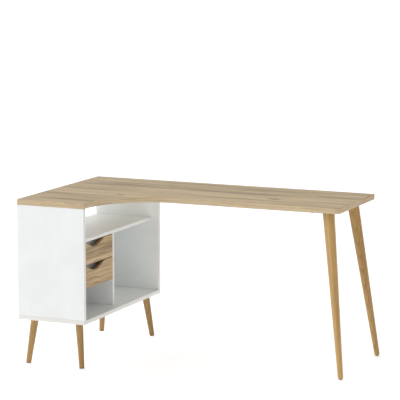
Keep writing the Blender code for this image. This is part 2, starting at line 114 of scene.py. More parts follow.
bpy.context.scene.view_settings.view_transform = "Standard"
bpy.context.scene.cycles.diffuse_bounces = LIGHT_BOUNCES
world = bpy.data.worlds.new("studio")
world.use_nodes = True
bpy.context.scene.world = world
sky = world.node_tree
sky_place = add(sky, "ShaderNodeTexCoord")
sky_axes = add(sky, "ShaderNodeSeparateXYZ", {0: sky_place.outputs["Generated"]})
sky_level = 0.0
for axis, sign, level in ((0, -1.0, SKY_LEFT), (0, 1.0, SKY_RIGHT), (1, 1.0, SKY_BACK),
                          (1, -1.0, SKY_FRONT), (2, 1.0, SKY_TOP)):
    side = add(sky, "ShaderNodeMath", {0: sky_axes.outputs[axis], 1: sign * level},
               operation="MULTIPLY")
    lit = add(sky, "ShaderNodeMath", {0: side.outputs[0], 1: 0.0}, operation="MAXIMUM")
    sky_level = add(sky, "ShaderNodeMath", {0: lit.outputs[0], 1: sky_level}).outputs[0]
sky.links.new(sky_level, sky.nodes["Background"].inputs["Strength"])
sky.nodes["Background"].inputs["Color"].default_value = linear(PLAIN_WHITE)

bpy.ops.mesh.primitive_plane_add(size=FLOOR_REACH)
floor = bpy.context.object
floor.name = "floor"
# Matte white paint: no gloss at all, and an even glow in place of a lit backdrop.
floor_paint = bpy.data.materials.new("matte_white_floor")
floor_paint.use_nodes = True
floor_shader = floor_paint.node_tree.nodes["Principled BSDF"]
floor_shader.inputs["Base Color"].default_value = (FLOOR_WHITE, FLOOR_WHITE, FLOOR_WHITE, 1.0)
floor_shader.inputs["Roughness"].default_value = 1.0
floor_shader.inputs["Specular IOR Level"].default_value = 0.0
floor_shader.inputs["Emission Color"].default_value = linear(PLAIN_WHITE)
floor_shader.inputs["Emission Strength"].default_value = FLOOR_GLOW
floor.data.materials.append(floor_paint)


# ---- desktop --------------------------------------------------------------------------------
# One L-shaped sheet of chipboard, 25 mm thick, faced with melamine paper printed as pale oak on
# top and with plain beige backing paper underneath. It is sawn to its outline, curve and all,
# and a printed ABS edge band is glued on all round, a little warmer than the face. The band is
# also printed lighter than the face, partly its own tone and partly painted light, since the
# edges take more light than the top.
INNER_CURVE_RADIUS = 0.303
OUTER_CORNER_RADIUS = 0.028
INNER_CURVE_STEPS = 64
OUTER_CORNER_STEPS = 16
WING_DEPTH = 0.479
BAND = 0.0012
BAND_ROUND = 0.0007
SEAM = 0.00015
GLUE_LINE = 0.00005
SHARP_EDGE = radians(32.0)
FACING_DOWN = -0.9

# Painted light and shade, in part: the face's oak is printed darker than the band's below, for the
# top taking less light than the edges.
OAK_LIGHT = "#d6be94"
OAK_MID = "#bda67c"
OAK_DARK = "#93805f"
OAK_PORE = "#66523a"
OAK_PITH = (0.0, 0.10, 0.75)
OAK_KNOTS = ((0.34, 0.07, 0.045, 0.020), (-0.345, -0.095, 0.030, 0.016))
OAK_BAND_LIGHT = "#d5c09f"
OAK_BAND_DARK = "#b49a76"
FIBRE_SHADE = "#d6d6d6"
RING_BODY = "#f5f1eb"
RING_LINE = "#cbbba8"
BACKING_LIGHT = "#ccc6bb"
BACKING_LOW = "#c4beb3"
BACKING_CLOUD = 25.0

# The layers of an oak print: each one's length along the grain and width across it, in metres,
# its detail, and how far it is moved from the others. Real fibres and pores are about 0.2 mm
# wide, and are drawn five to eight times as wide, because they would not show.
OAK_TONES = (0.80, 0.050, 4.0, 0.0)
OAK_STREAKS = (0.34, 0.0090, 5.0, 3.0)
OAK_FIBRES = (0.10, 0.0016, 3.0, 7.0)
OAK_PORES = (0.018, 0.0011, 1.0, 11.0)
OAK_SWAY = (0.30, 0.12)
OAK_SWAY_REACH = 0.020
OAK_ROUGHNESS = 0.52
OAK_SPECULAR = 0.22

# The growth rings stand 14 mm apart, four to five times the real spacing, because closer ones
# would not show. Tilted to the grain and stretched along it, they come out as cathedrals.
RING_SCALE = 22.0
RING_STRETCH = 5.0
RING_TILT = (0.18, 0.18, 0.08)
RING_ON_FACE = 0.8
RING_ON_BAND = 0.35


def new_material(name, roughness, specular=0.5, metallic=0.0, ior=1.5):
    """A material with a Principled shader, and its tree and shader to hang patterns on."""
    made = bpy.data.materials.new(name)
    made.use_nodes = True
    shader = made.node_tree.nodes["Principled BSDF"]
    shader.inputs["Roughness"].default_value = roughness
    shader.inputs["Specular IOR Level"].default_value = specular
    shader.inputs["Metallic"].default_value = metallic
    shader.inputs["IOR"].default_value = ior
    return made, made.node_tree, shader


def grain(along, across, axis="X"):
    """The scales that make features this long and this wide, in metres, along one axis."""
    return tuple(1 / along if name == axis else 1 / across for name in "XYZ")


def oak_print(name, place_of, colours, axis="X", shift=0.0, pith=(0.0, 0.0, 0.0), knots=(),
              ringing=RING_ON_FACE):
    """Printed oak: tone bands, streaks, cathedral rings round a pith, fibres, pores and knots."""
    light, mid, dark, pore = colours
    made, tree, shader = new_material(name, OAK_ROUGHNESS, OAK_SPECULAR)
    place = place_of(tree)
    sway_place = add(tree, "ShaderNodeMapping", {"Vector": place, "Location": (shift,) * 3,
                                                 "Scale": grain(*OAK_SWAY, axis)})
    sway = add(tree, "ShaderNodeTexNoise", {"Vector": sway_place.outputs[0], "Scale": 1.0,
                                            "Detail": 2.0})
    swayed = add(tree, "ShaderNodeVectorMath", {0: sway.outputs["Color"],
                                                1: (OAK_SWAY_REACH,) * 3}, operation="MULTIPLY")
    bent = add(tree, "ShaderNodeVectorMath", {0: place, 1: swayed.outputs[0]}).outputs[0]
    noises = []
    for length, width, detail, move in (OAK_TONES, OAK_STREAKS, OAK_FIBRES, OAK_PORES):
        at = add(tree, "ShaderNodeMapping", {"Vector": bent, "Scale": grain(length, width, axis),
                                             "Location": (shift + move,) * 3})
        noises.append(add(tree, "ShaderNodeTexNoise", {"Vector": at.outputs[0], "Scale": 1.0,
                                                       "Detail": detail, "Roughness": 0.6}))
    bands, streaks, fibres, pores = [noise.outputs["Fac"] for noise in noises]
    base = add(tree, "ShaderNodeValToRGB", {"Fac": bands},
               stops=[(0.34, dark), (0.63, light), (0.47, mid)])
    dark_streaks = add(tree, "ShaderNodeMapRange", {"Value": streaks, "From Min": 0.46,
                                                    "From Max": 0.30, "To Max": 0.75})
    streaked = add(tree, "ShaderNodeMix", {0: dark_streaks.outputs[0], 6: base.outputs[0],
                                           7: linear(dark)}, data_type="RGBA")
    light_streaks = add(tree, "ShaderNodeMapRange", {"Value": streaks, "From Min": 0.54,
                                                     "From Max": 0.74, "To Max": 0.65})
    glowing = add(tree, "ShaderNodeMix", {0: light_streaks.outputs[0], 6: streaked.outputs[2],
                                          7: linear(light)}, data_type="RGBA")
    fibre_tone = add(tree, "ShaderNodeValToRGB", {"Fac": fibres},
                     stops=[(0.30, FIBRE_SHADE), (0.62, PLAIN_WHITE)])
    fibred = add(tree, "ShaderNodeMix", {0: 0.75, 6: glowing.outputs[2], 7: fibre_tone.outputs[0]},
                 data_type="RGBA", blend_type="MULTIPLY")
    off_pith = add(tree, "ShaderNodeMapping", {"Vector": bent, "Location": [-p for p in pith],
                                               "Scale": grain(RING_STRETCH, 1.0, axis),
                                               "Rotation": RING_TILT})
    rings = add(tree, "ShaderNodeTexWave", {"Vector": off_pith.outputs[0], "Scale": RING_SCALE,
                                            "Distortion": 5.0, "Detail": 3.0,
                                            "Detail Scale": 1.2},
                wave_type="RINGS", rings_direction=axis, wave_profile="SAW")
    ring_tone = add(tree, "ShaderNodeValToRGB", {"Fac": rings.outputs["Fac"]},
                    stops=[(0.0, PLAIN_WHITE), (1.0, RING_LINE), (0.66, RING_BODY)])
    ringed = add(tree, "ShaderNodeMix", {0: ringing, 6: fibred.outputs[2], 7: ring_tone.outputs[0]},
                 data_type="RGBA", blend_type="MULTIPLY")
    pore_level = add(tree, "ShaderNodeMapRange", {"Value": pores, "From Min": 0.36,
                                                  "From Max": 0.24, "To Max": 0.6})
    coloured = add(tree, "ShaderNodeMix", {0: pore_level.outputs[0], 6: ringed.outputs[2],
                                           7: linear(pore)}, data_type="RGBA")
    for knot_x, knot_y, length, width in knots:
        from_knot = add(tree, "ShaderNodeMapping",
                        {"Vector": bent, "Location": (-knot_x / length, -knot_y / width, 0.0),
                         "Scale": (1 / length, 1 / width, 0.0)})
        away = add(tree, "ShaderNodeVectorMath", {0: from_knot.outputs[0]}, operation="LENGTH")
        eye = add(tree, "ShaderNodeMapRange", {"Value": away.outputs["Value"], "From Min": 1.0,
                                               "From Max": 0.25, "To Max": 0.85})
        coloured = add(tree, "ShaderNodeMix", {0: eye.outputs[0], 6: coloured.outputs[2],
                                               7: linear(pore)}, data_type="RGBA")
    tree.links.new(coloured.outputs[2], shader.inputs["Base Color"])
    gloss = add(tree, "ShaderNodeMapRange", {"Value": fibres, "To Min": OAK_ROUGHNESS - 0.06,
                                             "To Max": OAK_ROUGHNESS + 0.08})
    tree.links.new(gloss.outputs[0], shader.inputs["Roughness"])
    relief = add(tree, "ShaderNodeMath", {0: fibres, 1: pore_level.outputs[0]},
                 operation="SUBTRACT")
    bump = add(tree, "ShaderNodeBump", {"Height": relief.outputs[0], "Strength": 0.25,
                                        "Distance": 0.0002})
    tree.links.new(bump.outputs[0], shader.inputs["Normal"])
    return made


def object_place(tree):
    """The piece's own coordinates, in metres."""
    return add(tree, "ShaderNodeTexCoord").outputs["Object"]


def band_place(tree):
    """The distance along an edge band and the height on it, in metres."""
    return add(tree, "ShaderNodeUVMap", uv_map="band_run").outputs["UV"]


# Printed melamine paper: the figure is ink, so the sheen is dull and even, and only the shallow
# pores that the press leaves break it.
desktop_oak = oak_print("desktop_oak_melamine", object_place,
                        (OAK_LIGHT, OAK_MID, OAK_DARK, OAK_PORE), pith=OAK_PITH, knots=OAK_KNOTS)

# Extruded and printed ABS: a plainer print of the same oak, running along the edge. It is lighter,
# partly its own tone and partly painted light, since the edge takes more light than the top.
desktop_band_oak = oak_print("desktop_oak_edge_band", band_place,
                             (OAK_BAND_LIGHT, OAK_BAND_LIGHT, OAK_BAND_DARK, OAK_BAND_DARK),
                             ringing=RING_ON_BAND)


def arc(centre_x, centre_y, radius, start, end, steps):
    """Points on an arc from one angle to another, both ends included."""
    angles = [start + (end - start) * step / steps for step in range(steps + 1)]
    return [(centre_x + radius * cos(angle), centre_y + radius * sin(angle)) for angle in angles]


def pulled_in(outline, inset):
    """A counter-clockwise outline moved inwards by a distance, corner by corner."""
    moved = []
    count = len(outline)
    for index, (x, y) in enumerate(outline):
        here = Vector((x, y))
        before = (here - Vector(outline[index - 1])).normalized()
        after = (Vector(outline[(index + 1) % count]) - here).normalized()
        normals = Vector((-before.y, before.x)), Vector((-after.y, after.x))
        step = (normals[0] + normals[1]) / (1.0 + normals[0].dot(normals[1]))
        moved.append(tuple(here + step * inset))
    return moved


def ring_face(shape, corners, run_layer=None, runs=None):
    """One face between two rings, with its place on the band."""
    face = shape.faces.new(corners)
    face.smooth = True
    if run_layer is not None:
        for loop, run in zip(face.loops, runs):
            loop[run_layer].uv = run
    return face


def section_sweep(outline, section, to_world, closed):
    """Sweep a section of (inset, height) round an outline; caps it where it isn't closed."""
    shape = bmesh.new()
    run_layer = shape.loops.layers.uv.new("band_run")
    rings = []
    for inset, height in section:
        rings.append([shape.verts.new(to_world(u, v, height)) for u, v in pulled_in(outline, inset)])
    count = len(outline)
    runs = [0.0]
    for index in range(count):
        step = Vector(outline[(index + 1) % count]) - Vector(outline[index])
        runs.append(runs[-1] + step.length)
    last = len(section) if closed else len(section) - 1
    for level in range(last):
        lower, upper = rings[level], rings[(level + 1) % len(section)]
        low, high = section[level][1], section[(level + 1) % len(section)][1]
        for index in range(count):
            following = (index + 1) % count
            corners = (lower[index], lower[following], upper[following], upper[index])
            places = ((runs[index], low), (runs[index + 1], low), (runs[index + 1], high),
                      (runs[index], high))
            ring_face(shape, corners, run_layer, places)
    if not closed:
        caps = [shape.faces.new(list(reversed(rings[0]))), shape.faces.new(rings[-1])]
        shape.normal_update()
        bmesh.ops.triangulate(shape, faces=caps)
    bmesh.ops.recalc_face_normals(shape, faces=shape.faces)
    return shape


def piece(name, shape, finish, body, nodes=()):
    """Turn a shape into a piece that rides on a body and stands for its CAD nodes."""
    mesh = bpy.data.meshes.new(name)
    shape.to_mesh(mesh)
    shape.free()
    mesh.materials.append(finish)
    mesh.set_sharp_from_angle(angle=SHARP_EDGE)
    made = bpy.data.objects.new(name, mesh)
    bpy.context.scene.collection.objects.link(made)
    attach(made, body)
    if nodes:
        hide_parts(*nodes)
    return made


def banded_board(name, outline, low, high, to_world, finishes, body, band=BAND,
                 rounding=BAND_ROUND):
    """A faced board and the edge band glued round it, two pieces; gives back the board."""
    face_finish, band_finish = finishes
    turns = [step * pi / 8 for step in range(5)]
    bottom = [(rounding * (1 - sin(a)), low + rounding * (1 - cos(a))) for a in turns]
    rim = [(band, low + SEAM), (band - SEAM, low)] + bottom
    top = [(inset, low + high - height) for inset, height in reversed(bottom)]
    rim += top + [(band - SEAM, high), (band, high - SEAM)]
    start = band + GLUE_LINE
    core = [(start + SEAM, low), (start, low + SEAM), (start, high - SEAM), (start + SEAM, high)]
    board = piece(name, section_sweep(outline, core, to_world, False), face_finish, body,
                  (name,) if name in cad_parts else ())
    piece(name + "_edge_band", section_sweep(outline, rim, to_world, True), band_finish, body)
    return board


def flat(u, v, w):
    """A level board: its outline in X and Y, its thickness up."""
    return Vector((u, v, w))


top_low, top_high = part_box("desktop")
cabinet_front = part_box("near_side_panel")[1].x
wing_front = top_high.y - WING_DEPTH
top_outline = [(top_low.x, top_high.y), (top_low.x, top_low.y), (cabinet_front, top_low.y)]
top_outline += arc(cabinet_front + INNER_CURVE_RADIUS, wing_front - INNER_CURVE_RADIUS,
                   INNER_CURVE_RADIUS, pi, pi / 2, INNER_CURVE_STEPS)
top_outline += arc(top_high.x - OUTER_CORNER_RADIUS, wing_front + OUTER_CORNER_RADIUS,
                   OUTER_CORNER_RADIUS, -pi / 2, 0.0, OUTER_CORNER_STEPS)
top_outline += [(top_high.x, top_high.y)]
desktop = banded_board("desktop", top_outline, top_low.z, top_high.z, flat,
                       (desktop_oak, desktop_band_oak), "desk_frame")

# Unprinted backing paper: matte beige grey, faintly clouded by the fibres that show through.
backing_paper, backing_tree, backing_shader = new_material("plain_beige_backing_paper", 0.6, 0.2)
backing_cloud = add(backing_tree, "ShaderNodeTexNoise", {"Vector": object_place(backing_tree),
                                                         "Scale": BACKING_CLOUD,
                                                         "Detail": 4.0})
backing_tone = add(backing_tree, "ShaderNodeValToRGB", {"Fac": backing_cloud.outputs["Fac"]},
                   stops=[(0.35, BACKING_LOW), (0.65, BACKING_LIGHT)])
backing_tree.links.new(backing_tone.outputs[0], backing_shader.inputs["Base Color"])
desktop.data.materials.append(backing_paper)
for face in desktop.data.polygons:
    if face.normal.z < FACING_DOWN:
        face.material_index = 1


# ---- cabinet boards -------------------------------------------------------------------------
# White melamine-faced chipboard, cut square, with white ABS bands on every edge: two side
# panels, a bottom panel, and a fixed shelf and a divider set back from the front. A thin white
# back panel closes the two drawer compartments.
WHITE_FACE = "#eff1f0"
WHITE_FACE_LOW = "#ebedec"
WHITE_BAND = "#e9e7e3"
WHITE_BAND_LOW = "#e5e3df"
MOTTLE_SCALE = 9.0
BOARD_CORNER = 0.0012
WHITE_BAND_THICKNESS = 0.0008
WHITE_BAND_ROUND = 0.0005

# The press plate's pearls are drawn 1.4 mm apart, two to three times their real spacing,
# because finer ones would not show.
PEARL_SCALE = 700.0
FACE_PEARL = 0.22
BAND_PEARL = 0.06


def white_melamine(name, light, low, roughness, pearl):
    """Pressed white melamine: even white, very slightly mottled, with a fine pearl relief."""
    made, tree, shader = new_material(name, roughness, 0.35)
    place = object_place(tree)
    mottle = add(tree, "ShaderNodeTexNoise", {"Vector": place, "Scale": MOTTLE_SCALE, "Detail": 3.0})
    tone = add(tree, "ShaderNodeValToRGB", {"Fac": mottle.outputs["Fac"]},
               stops=[(0.35, low), (0.65, light)])
    tree.links.new(tone.outputs[0], shader.inputs["Base Color"])
    pearls = add(tree, "ShaderNodeTexNoise", {"Vector": place, "Scale": PEARL_SCALE,
                                              "Detail": 2.0})
    bump = add(tree, "ShaderNodeBump", {"Height": pearls.outputs["Fac"], "Strength": pearl,
                                        "Distance": 0.0001})
    tree.links.new(bump.outputs[0], shader.inputs["Normal"])
    gloss = add(tree, "ShaderNodeMapRange", {"Value": pearls.outputs["Fac"],
                                             "To Min": roughness - 0.05,
                                             "To Max": roughness + 0.07})
    tree.links.new(gloss.outputs[0], shader.inputs["Roughness"])
    return made


# Melamine pressed on a pearl plate: a clean cool white whose soft sheen is broken up finely.
white_face = white_melamine("white_pearl_melamine", WHITE_FACE, WHITE_FACE_LOW, 0.46, FACE_PEARL)

# Extruded ABS: a warmer, smoother and slightly glossier white than the faces it is glued to.
white_band = white_melamine("white_abs_edge_band", WHITE_BAND, WHITE_BAND_LOW, 0.38, BAND_PEARL)


def upright(u, v, w):
    """An upright board along X: its outline in X and Z, its thickness along Y."""
    return Vector((u, w, v))


def rectangle(low_u, low_v, high_u, high_v, radius):
    """A counter-clockwise rectangle with its corners just broken."""
    points = []
    for quarter, (u, v) in enumerate(((high_u, high_v), (low_u, high_v), (low_u, low_v),
                                      (high_u, low_v))):
        inward_u = -radius if u == high_u else radius
        inward_v = -radius if v == high_v else radius
        start = quarter * pi / 2
        points += arc(u + inward_u, v + inward_v, radius, start, start + pi / 2, 3)
    return points


for board_name in ("near_side_panel", "far_side_panel", "divider"):
    low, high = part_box(board_name)
    banded_board(board_name, rectangle(low.x, low.z, high.x, high.z, BOARD_CORNER), low.y, high.y,
                 upright, (white_face, white_band), "desk_frame",
                 WHITE_BAND_THICKNESS, WHITE_BAND_ROUND)
for board_name in ("bottom_panel", "fixed_shelf"):
    low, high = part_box(board_name)
    banded_board(board_name, rectangle(low.x, low.y, high.x, high.y, BOARD_CORNER), low.z, high.z,
                 flat, (white_face, white_band), "desk_frame",
                 WHITE_BAND_THICKNESS, WHITE_BAND_ROUND)


def refinish(node_name, finish):
    """Give a CAD node the finish of the real piece."""
    node_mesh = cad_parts[node_name].data
    node_mesh.materials.clear()
    node_mesh.materials.append(finish)


refinish("back_panel", white_face)


# ---- legs -----------------------------------------------------------------------------------
# Solid beech stained to a honey oak tone and clear lacquered in satin, turned to a straight
# taper. The short ones are cut level at the top and square at the foot; the long ones end in
# a ball. The grain runs along each leg, and the growth rings show as long narrow flames.
SHORT_LEG_TOP_INSET = 0.055
SHORT_LEG_FOOT_INSET = 0.031
SHORT_LEG_TOP_RADIUS = 0.018
SHORT_LEG_FOOT_RADIUS = 0.012
SHORT_GLIDE_RADIUS = 0.0115
SHORT_GLIDE_THICKNESS = 0.0025
LONG_LEG_TOP_END_INSET = 0.076
LONG_LEG_TOP_SIDE_INSET = 0.081
LONG_LEG_END_OVERHANG = 0.0195
LONG_LEG_SIDE_OVERHANG = 0.008
LONG_LEG_TOP_RADIUS = 0.0265
LONG_LEG_FOOT_RADIUS = 0.0122
LONG_LEG_TOP_DROP = 0.0095
LONG_LEG_TOP_ROUND = ((0.0, 0.0010), (0.0003, 0.0003), (0.0010, 0.0))
LONG_GLIDE_HEIGHT = 0.005
SHORT_FOOT_ROUND = 0.0006
GLIDE_FOOT_ROUND = 0.0008
GLIDE_TOP_ROUND = 0.0002
POLE_GAP = 0.02
CLEARANCE = 0.0003
LEG_SIDES = 64
LONG_LEGS = (("wing_front_leg", wing_front, -1.0), ("wing_back_leg", top_high.y, 1.0))

LEG_LIGHT = "#dcb878"
LEG_MID = "#c89e60"
LEG_DARK = "#a67c46"
FLECK_SHADE = "#c9c4bc"
# Painted shade: each leg's wood is darkened by its own level, from 1.0, none, down to 0.0, the
# darkest tone, so that the legs under the cabinet, the far ones most, and the wing's back leg come
# out darker, as the light falls.
LEG_PAINTED_SHADE_DARKEST = "#b4a878"
LEG_PAINTED_SHADE = {"near_back_leg": 0.41, "near_front_leg": 0.33, "far_back_leg": 0.15,
                "far_front_leg": 0.10, "wing_front_leg": 1.0, "wing_back_leg": 0.60}
NEXT_LEG_GRAIN = 0.37
NYLON_TONE = "#8a7050"
NYLON_SHADE = "#d8d8d8"

# Sizes of the leg wood's figure, in metres. The rings stand 5 mm apart, about twice beech's
# own, and the flecks are 1.2 mm wide, about twice its rays, because finer ones would not show.
LEG_SWAY = (0.20, 0.03)
LEG_SWAY_REACH = (0.0, 0.008, 0.008)
LEG_PITH = (0.0, 0.060, 0.021)
LEG_RING_TILT = (0.0, 0.05, 0.03)
LEG_RING_SCALE = 62.0
LEG_TONES = (0.35, 0.012)
LEG_FLECKS = (0.05, 0.0012)

# Stained beech under clear satin lacquer: warm honey wood with a soft even gloss over it. The
# figure reads each leg's own coordinates, its length along X, so that the grain follows it. Over
# the stain, each leg is darkened by its own painted shade.
leg_wood, leg_tree, leg_shader = new_material("satin_lacquered_leg_wood", 0.38, 0.45)
leg_place = add(leg_tree, "ShaderNodeAttribute", attribute_name="along_leg").outputs["Vector"]
leg_sway_place = add(leg_tree, "ShaderNodeMapping", {"Vector": leg_place,
                                                     "Scale": grain(*LEG_SWAY)})
leg_sway = add(leg_tree, "ShaderNodeTexNoise", {"Vector": leg_sway_place.outputs[0], "Scale": 1.0})
leg_swayed = add(leg_tree, "ShaderNodeVectorMath", {0: leg_sway.outputs["Color"],
                                                    1: LEG_SWAY_REACH},
                 operation="MULTIPLY")
leg_bent = add(leg_tree, "ShaderNodeVectorMath", {0: leg_place, 1: leg_swayed.outputs[0]})
off_pith = add(leg_tree, "ShaderNodeMapping", {"Vector": leg_bent.outputs[0],
                                               "Location": LEG_PITH,
                                               "Rotation": LEG_RING_TILT})
growth_rings = add(leg_tree, "ShaderNodeTexWave", {"Vector": off_pith.outputs[0],
                                                   "Scale": LEG_RING_SCALE,
                                                   "Distortion": 1.5, "Detail": 2.0},
                   wave_type="RINGS", rings_direction="X", wave_profile="SAW")
ringed = add(leg_tree, "ShaderNodeValToRGB", {"Fac": growth_rings.outputs["Fac"]},
             stops=[(0.0, LEG_LIGHT), (1.0, LEG_DARK), (0.62, LEG_MID)])
tone_place = add(leg_tree, "ShaderNodeMapping", {"Vector": leg_place, "Location": (9.0,) * 3,
                                                 "Scale": grain(*LEG_TONES)})
leg_tone = add(leg_tree, "ShaderNodeTexNoise", {"Vector": tone_place.outputs[0], "Scale": 1.0})
toned = add(leg_tree, "ShaderNodeValToRGB", {"Fac": leg_tone.outputs["Fac"]},
            stops=[(0.32, LEG_DARK), (0.66, LEG_LIGHT), (0.50, LEG_MID)])
leg_colour = add(leg_tree, "ShaderNodeMix", {0: 0.45, 6: ringed.outputs[0], 7: toned.outputs[0]},
                 data_type="RGBA")
fibre_place = add(leg_tree, "ShaderNodeMapping", {"Vector": leg_bent.outputs[0],
                                                  "Location": (5.0,) * 3,
                                                  "Scale": grain(*LEG_FLECKS)})
leg_fibres = add(leg_tree, "ShaderNodeTexNoise", {"Vector": fibre_place.outputs[0], "Scale": 1.0,
                                                  "Detail": 3.0})
fleck = add(leg_tree, "ShaderNodeValToRGB", {"Fac": leg_fibres.outputs["Fac"]},
            stops=[(0.30, FLECK_SHADE), (0.60, PLAIN_WHITE)])
flecked = add(leg_tree, "ShaderNodeMix", {0: 0.6, 6: leg_colour.outputs[2], 7: fleck.outputs[0]},
              data_type="RGBA", blend_type="MULTIPLY")
# Painted shade: the wood is darkened by each leg's own level, carried on its points.
leg_shade_attribute = add(leg_tree, "ShaderNodeAttribute", attribute_name="painted_leg_shade")
painted_leg_shade = add(leg_tree, "ShaderNodeValToRGB", {"Fac": leg_shade_attribute.outputs["Fac"]},
                  stops=[(0.0, LEG_PAINTED_SHADE_DARKEST), (1.0, PLAIN_WHITE)])
leg_colour_with_painted_shade = add(leg_tree, "ShaderNodeMix", {0: 1.0, 6: flecked.outputs[2],
                                              7: painted_leg_shade.outputs[0]},
                  data_type="RGBA", blend_type="MULTIPLY")
leg_tree.links.new(leg_colour_with_painted_shade.outputs[2], leg_shader.inputs["Base Color"])
leg_shader.inputs["Coat Weight"].default_value = 0.25
leg_shader.inputs["Coat Roughness"].default_value = 0.28
leg_bump = add(leg_tree, "ShaderNodeBump", {"Height": leg_fibres.outputs["Fac"],
                                            "Strength": 0.12, "Distance": 0.0001})
leg_tree.links.new(leg_bump.outputs[0], leg_shader.inputs["Normal"])


# Moulded nylon: one even brown, near the wood's tone, a little cloudy and dull. The mould's
# grain is 0.4 mm across.
glide_nylon, nylon_tree, nylon_shader = new_material("brown_nylon", 0.5, 0.4)
nylon_place = object_place(nylon_tree)
nylon_cloud = add(nylon_tree, "ShaderNodeTexNoise", {"Vector": nylon_place, "Scale": 180.0,
                                                     "Detail": 2.0})
nylon_tone = add(nylon_tree, "ShaderNodeValToRGB", {"Fac": nylon_cloud.outputs["Fac"]},
                 stops=[(0.3, NYLON_SHADE), (0.7, PLAIN_WHITE)])
nylon_tinted = add(nylon_tree, "ShaderNodeMix", {0: 1.0, 6: linear(NYLON_TONE),
                                                 7: nylon_tone.outputs[0]},
                   data_type="RGBA", blend_type="MULTIPLY")
nylon_tree.links.new(nylon_tinted.outputs[2], nylon_shader.inputs["Base Color"])
nylon_grit = add(nylon_tree, "ShaderNodeTexNoise", {"Vector": nylon_place, "Scale": 2500.0})
nylon_bump = add(nylon_tree, "ShaderNodeBump", {"Height": nylon_grit.outputs["Fac"],
                                                "Strength": 0.2, "Distance": 0.00005})
nylon_tree.links.new(nylon_bump.outputs[0], nylon_shader.inputs["Normal"])


def along(origin, direction):
    """A matrix at a point, whose local +Z follows a direction."""
    turn = Vector(direction).to_track_quat("Z", "Y").to_matrix().to_4x4()
    return Matrix.Translation(origin) @ turn


def turned_shape(profile, place, level=None, sides=LEG_SIDES, start=0.0, tone=0.5):
    """Spin a profile of (radius, height) round a leg's axis; its last ring may be cut level."""
    shape = bmesh.new()
    grain_layer = shape.verts.layers.float_vector.new("along_leg")
    shade_layer = shape.verts.layers.float.new("painted_leg_shade")
    back = place.inverted()
    rings = []
    for index, (radius, height) in enumerate(profile):
        ring = []
        for side in range(sides):
            angle = 2 * pi * side / sides
            point = place @ Vector((radius * cos(angle), radius * sin(angle), height))
            if level is not None and index == len(profile) - 1:
                foot_radius, foot_height = profile[index - 1]
                foot = place @ Vector((foot_radius * cos(angle), foot_radius * sin(angle),
                                       foot_height))
                point = foot.lerp(point, (level - foot.z) / (point.z - foot.z))
            vert = shape.verts.new(point)
            local = back @ point
            vert[grain_layer] = (local.z + start, local.x, local.y)
            # Each point carries its leg's painted shade level.
            vert[shade_layer] = tone
            ring.append(vert)
        rings.append(ring)
    for lower, upper in zip(rings, rings[1:]):
        for side in range(sides):
            following = (side + 1) % sides
            ring_face(shape, (lower[side], lower[following], upper[following], upper[side]))
    shape.faces.new(list(reversed(rings[0])))
    shape.faces.new(rings[-1])
    bmesh.ops.recalc_face_normals(shape, faces=shape.faces)
    return shape


def rounded_step(radius, height, round_radius, steps=4):
    """The profile of a square end with its rim rounded, from its flat up to its side."""
    angles = [pi / 2 * step / steps for step in range(steps + 1)]
    return [(radius - round_radius + round_radius * sin(a), height + round_radius * (1 - cos(a)))
            for a in angles]


def long_leg_line(edge_y, outward):
    """The middle of a long leg's ball, and the point where its axis meets the collar."""
    ball = Vector((top_high.x + LONG_LEG_END_OVERHANG,
                   edge_y + outward * LONG_LEG_SIDE_OVERHANG, LONG_LEG_FOOT_RADIUS))
    anchor = Vector((top_high.x - LONG_LEG_TOP_END_INSET,
                     edge_y - outward * LONG_LEG_TOP_SIDE_INSET, top_low.z - LONG_LEG_TOP_DROP))
    return ball, anchor


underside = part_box("bottom_panel")[0]
cabinet_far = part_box("bottom_panel")[1]
leg_number = 0
for row, edge_y, inward_y in (("near", underside.y, 1.0), ("far", cabinet_far.y, -1.0)):
    for end, edge_x, inward_x in (("back", underside.x, 1.0), ("front", cabinet_far.x, -1.0)):
        leg_name = f"{row}_{end}_leg"
        inward = Vector((inward_x, inward_y, 0.0))
        corner = Vector((edge_x, edge_y, 0.0))
        level = underside.z - CLEARANCE
        foot_point = corner + inward * SHORT_LEG_FOOT_INSET
        top_point = corner + inward * SHORT_LEG_TOP_INSET + Vector((0.0, 0.0, level))
        axis = (top_point - foot_point).normalized()
        tilt = axis.angle(Vector((0.0, 0.0, 1.0)))
        place = along(foot_point + axis * SHORT_GLIDE_RADIUS * tan(tilt), axis)
        foot_height = SHORT_GLIDE_THICKNESS + CLEARANCE
        reach = (place.inverted() @ top_point).z
        overrun = reach + SHORT_LEG_TOP_RADIUS
        taper = (SHORT_LEG_TOP_RADIUS - SHORT_LEG_FOOT_RADIUS) / (reach - foot_height)
        profile = rounded_step(SHORT_LEG_FOOT_RADIUS, foot_height, SHORT_FOOT_ROUND)
        profile.append((SHORT_LEG_TOP_RADIUS + taper * (overrun - reach), overrun))
        leg_number += 1
        # The leg's own painted shade level.
        shape = turned_shape(profile, place, level, start=NEXT_LEG_GRAIN * leg_number,
                             tone=LEG_PAINTED_SHADE[leg_name])
        piece(leg_name, shape, leg_wood, "desk_frame", (leg_name,))
        glide = rounded_step(SHORT_GLIDE_RADIUS, 0.0, GLIDE_FOOT_ROUND)
        glide += [(radius, SHORT_GLIDE_THICKNESS - height) for radius, height in
                  reversed(rounded_step(SHORT_GLIDE_RADIUS, 0.0, GLIDE_TOP_ROUND))]
        piece(leg_name + "_glide", turned_shape(glide, place), glide_nylon, "desk_frame",
              (leg_name + "_glide",))

